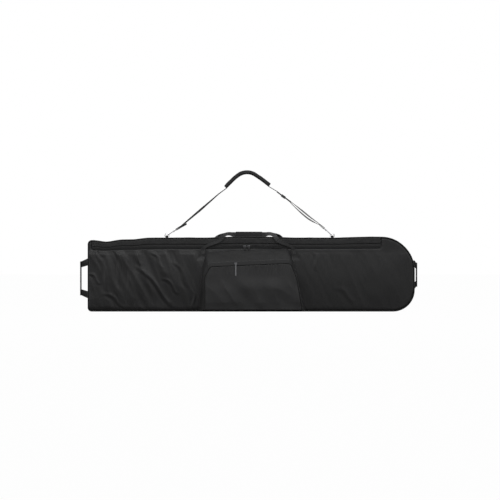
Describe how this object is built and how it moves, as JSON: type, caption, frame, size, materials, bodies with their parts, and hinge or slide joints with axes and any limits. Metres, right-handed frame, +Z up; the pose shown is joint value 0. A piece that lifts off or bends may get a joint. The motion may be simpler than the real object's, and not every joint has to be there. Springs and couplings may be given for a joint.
{
  "type": "snowboard bag",
  "caption": "Long padded snowboard bag with a boot pocket, piped edges, zips, carry handles, end handles and a padded shoulder strap on swivel hooks.",
  "frame": {"origin": "centre of the bag's underside: midway between the tail and nose ends of the shell and between its front and back faces, on the surface it stands on", "axes": "+X along the bag to its nose, -Y out of the front with the boot pocket, +Z up to the zip and the carry handles"},
  "size_m": [1.7165, 0.2298, 0.7169],
  "materials": {
    "shell_cloth": "padded woven polyester, soft low sheen",
    "piping": "corded piping in the same cloth",
    "foam": "closed-cell foam sheet, matte",
    "lining": "plain woven lining",
    "zip_tape": "woven tape with a nylon coil",
    "zip_metal": "painted zip sliders",
    "pull_cord": "flat woven pull",
    "webbing": "woven polypropylene webbing, light sheen",
    "pad_cloth": "padded cover cloth",
    "hook_metal": "nickel-plated cast metal",
    "moulded_plastic": "moulded black plastic"
  },
  "bodies": {
    "bag": {"front_panel": "shell_cloth", "front_padding": "foam", "front_lining": "lining", "back_panel": "shell_cloth", "back_padding": "foam", "back_lining": "lining", "bottom_gusset": "shell_cloth", "tail_end_panel": "shell_cloth", "nose_gusset": "shell_cloth", "front_piping": "piping", "back_piping": "piping", "main_zip_lower_tape": "zip_tape", "front_handle_patch_tail": "webbing", "front_handle_patch_nose": "webbing", "rear_handle_patch_tail": "webbing", "rear_handle_patch_nose": "webbing", "tail_handle_patch_foot": "webbing", "tail_handle_patch_top": "webbing", "nose_handle_patch_foot": "webbing", "nose_handle_patch_top": "webbing", "pocket_gusset": "shell_cloth", "pocket_zip_tape": "zip_tape", "pocket_floor": "shell_cloth"},
    "lid": {"top_gusset": "shell_cloth", "top_band": "shell_cloth", "lid_piping": "piping", "main_zip_upper_tape": "zip_tape", "left_ring_tab": "webbing", "right_ring_tab": "webbing"},
    "main_slider_left": {"main_slider_left": "zip_metal"},
    "main_pull_left": {"main_pull_left": "pull_cord"},
    "main_slider_right": {"main_slider_right": "zip_metal"},
    "main_pull_right": {"main_pull_right": "pull_cord"},
    "front_handle": {"front_handle": "webbing", "front_wrap": "pad_cloth"},
    "rear_handle": {"rear_handle": "webbing", "rear_wrap": "pad_cloth"},
    "tail_handle": {"tail_handle": "webbing"},
    "nose_handle": {"nose_handle": "webbing"},
    "pocket_flap": {"pocket_front": "shell_cloth", "pocket_piping": "piping"},
    "pocket_slider": {"pocket_slider": "zip_metal"},
    "pocket_pull": {"pocket_pull": "pull_cord"},
    "shoulder_strap": {"left_d_ring": "hook_metal", "right_d_ring": "hook_metal", "strap_webbing": "webbing", "shoulder_pad": "pad_cloth", "left_swivel_eye": "hook_metal", "right_swivel_eye": "hook_metal"},
    "strap_slider": {"strap_slider": "moulded_plastic"},
    "left_hook": {"left_snap_hook": "hook_metal"},
    "right_hook": {"right_snap_hook": "hook_metal"},
    "left_gate": {"left_hook_gate": "hook_metal"},
    "right_gate": {"right_hook_gate": "hook_metal"}
  },
  "joints": [
    {"name": "lid_open", "type": "hinge", "parent": "bag", "child": "lid", "pos_m": [0, 0.0624, 0.374], "axis": [-1, 0, 0], "range_deg": [0, 18.4]},
    {"name": "front_handle_swing", "type": "hinge", "parent": "bag", "child": "front_handle", "pos_m": [0, -0.0719, 0.3139], "axis": [1, 0, 0], "range_deg": [0, 111.4]},
    {"name": "rear_handle_swing", "type": "hinge", "parent": "bag", "child": "rear_handle", "pos_m": [0, 0.0719, 0.3139], "axis": [-1, 0, 0], "range_deg": [0, 111.4]},
    {"name": "shoulder_strap_swing", "type": "hinge", "parent": "lid", "child": "shoulder_strap", "pos_m": [0, 0, 0.381], "axis": [1, 0, 0], "range_deg": [-62, 62]},
    {"name": "strap_slider_slide", "type": "slide", "parent": "shoulder_strap", "child": "strap_slider", "axis": [0.8039, 0, -0.5948], "range_m": [-0.022, 0.026]},
    {"name": "left_hook_swivel", "type": "hinge", "parent": "shoulder_strap", "child": "left_hook", "pos_m": [-0.40476, 0, 0.40121], "axis": [0.8414, 0, 0.5404], "range_deg": [-30, 30]},
    {"name": "right_hook_swivel", "type": "hinge", "parent": "shoulder_strap", "child": "right_hook", "pos_m": [0.3914, 0, 0.40473], "axis": [-0.7534, 0, 0.6575], "range_deg": [-30, 30]},
    {"name": "left_gate_press", "type": "hinge", "parent": "left_hook", "child": "left_gate", "pos_m": [-0.40509, 0.008, 0.40099], "axis": [-0.5404, 0, 0.8414], "range_deg": [0, 20], "stiffness_Nm_per_rad": 0.01},
    {"name": "right_gate_press", "type": "hinge", "parent": "right_hook", "child": "right_gate", "pos_m": [0.3917, 0.008, 0.40446], "axis": [-0.6575, 0, -0.7534], "range_deg": [0, 20], "stiffness_Nm_per_rad": 0.01},
    {"name": "main_slider_left_slide", "type": "slide", "parent": "bag", "child": "main_slider_left", "axis": [-1, 0, 0], "range_m": [0, 0.13]},
    {"name": "main_pull_left_flip", "type": "hinge", "parent": "main_slider_left", "child": "main_pull_left", "pos_m": [-0.0315, -0.0752, 0.3292], "axis": [-1, 0, 0], "range_deg": [0, 110]},
    {"name": "main_slider_right_slide", "type": "slide", "parent": "bag", "child": "main_slider_right", "axis": [1, 0, 0], "range_m": [0, 0.12]},
    {"name": "main_pull_right_flip", "type": "hinge", "parent": "main_slider_right", "child": "main_pull_right", "pos_m": [-0.0125, -0.0752, 0.3292], "axis": [-1, 0, 0], "range_deg": [0, 110]},
    {"name": "tail_handle_swing", "type": "hinge", "parent": "bag", "child": "tail_handle", "pos_m": [-0.832, 0, 0.1665], "axis": [0, 0, 1], "range_deg": [-60, 60]},
    {"name": "nose_handle_swing", "type": "hinge", "parent": "bag", "child": "nose_handle", "pos_m": [0.832, 0, 0.185], "axis": [0, 0, 1], "range_deg": [-35, 35]},
    {"name": "pocket_flap_open", "type": "hinge", "parent": "bag", "child": "pocket_flap", "pos_m": [0, -0.13545, 0.012], "axis": [1, 0, 0], "range_deg": [0, 65]},
    {"name": "pocket_slider_slide", "type": "slide", "parent": "pocket_flap", "child": "pocket_slider", "axis": [0.999, 0, 0.044], "range_m": [-0.095, 0.245]},
    {"name": "pocket_pull_flip", "type": "hinge", "parent": "pocket_slider", "child": "pocket_pull", "pos_m": [-0.077, -0.1426, 0.23863], "axis": [-1, 0, 0], "range_deg": [0, 110]}
  ],
  "couplings": [
    {"joint": "front_handle_swing", "follows": "lid_open", "ratio": 6},
    {"joint": "rear_handle_swing", "follows": "lid_open", "ratio": 6}
  ]
}
